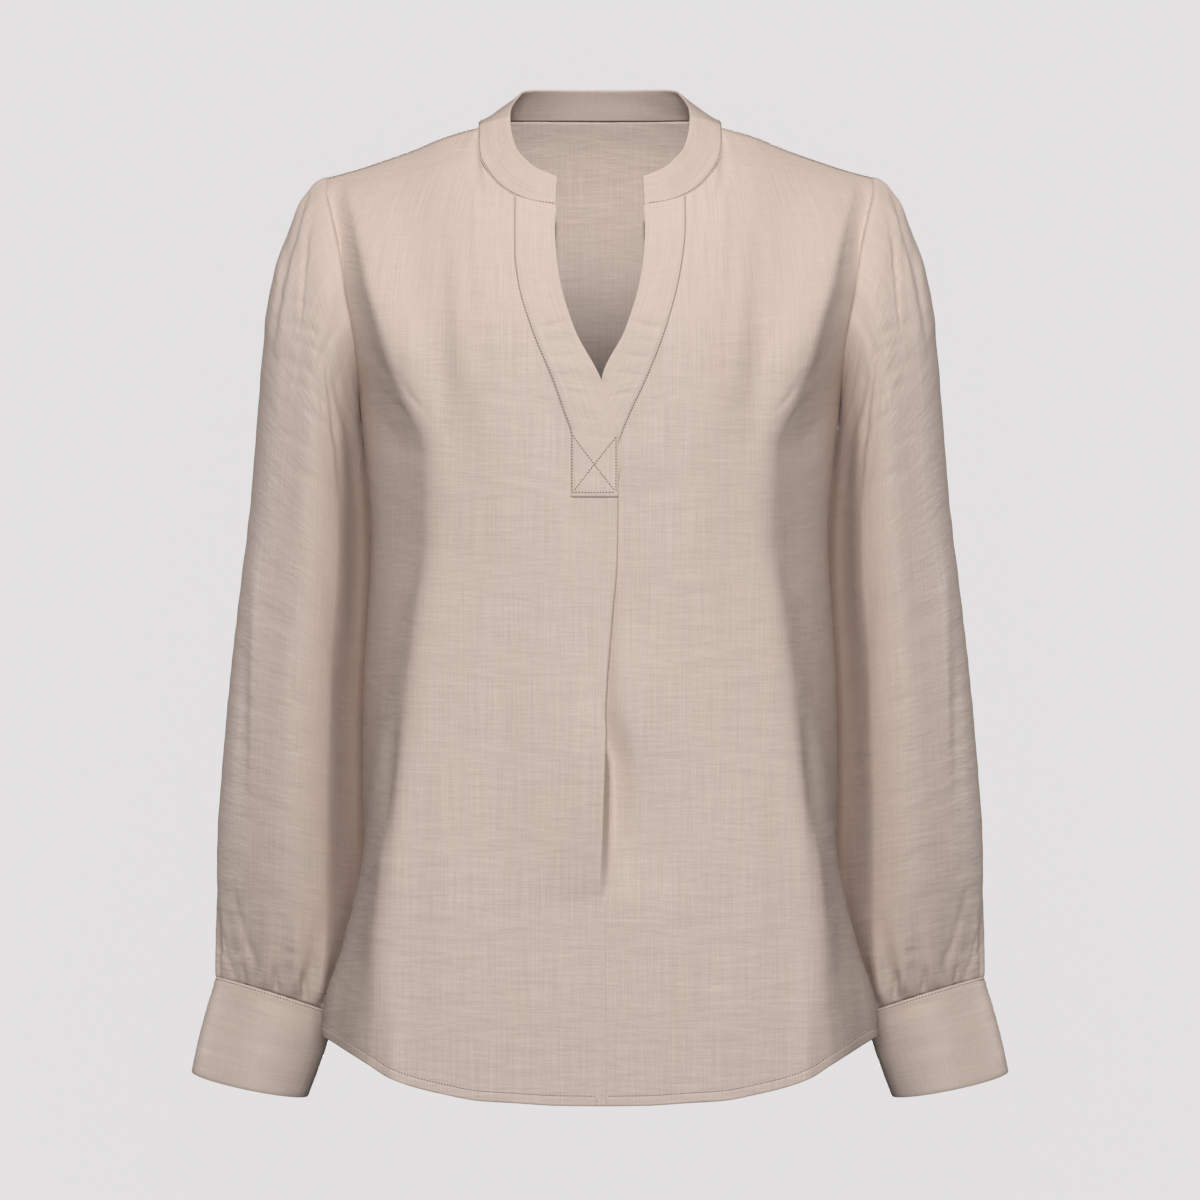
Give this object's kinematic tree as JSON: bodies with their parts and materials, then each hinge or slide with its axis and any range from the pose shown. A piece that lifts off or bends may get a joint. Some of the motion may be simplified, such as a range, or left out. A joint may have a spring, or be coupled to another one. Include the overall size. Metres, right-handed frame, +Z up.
{
  "type": "blouse",
  "caption": "Long-sleeved blouse in light slub satin cloth, filled out: stand collar, open V slit with topstitched bands and boxed tab, one front pleat, barrel cuffs, curved hem.",
  "frame": {"origin": "midway between the two points where the shoulder seams meet the neckline, which is where the wearer's shoulders hold it up", "axes": "+Z up, -Y the way the front faces, +X to the viewer's right when looking at the front"},
  "size_m": [0.5752, 0.247, 0.712],
  "materials": {
    "cloth": "light slub satin weave with a soft sheen",
    "cloth_stiff": "the same cloth, two layers with a light interlining"
  },
  "bodies": {
    "root": {"front": "cloth", "back": "cloth", "placket_left": "cloth_stiff", "placket_right": "cloth_stiff", "collar": "cloth_stiff", "sleeve_left": "cloth", "sleeve_right": "cloth", "cuff_left": "cloth_stiff", "cuff_right": "cloth_stiff"}
  },
  "joints": []
}
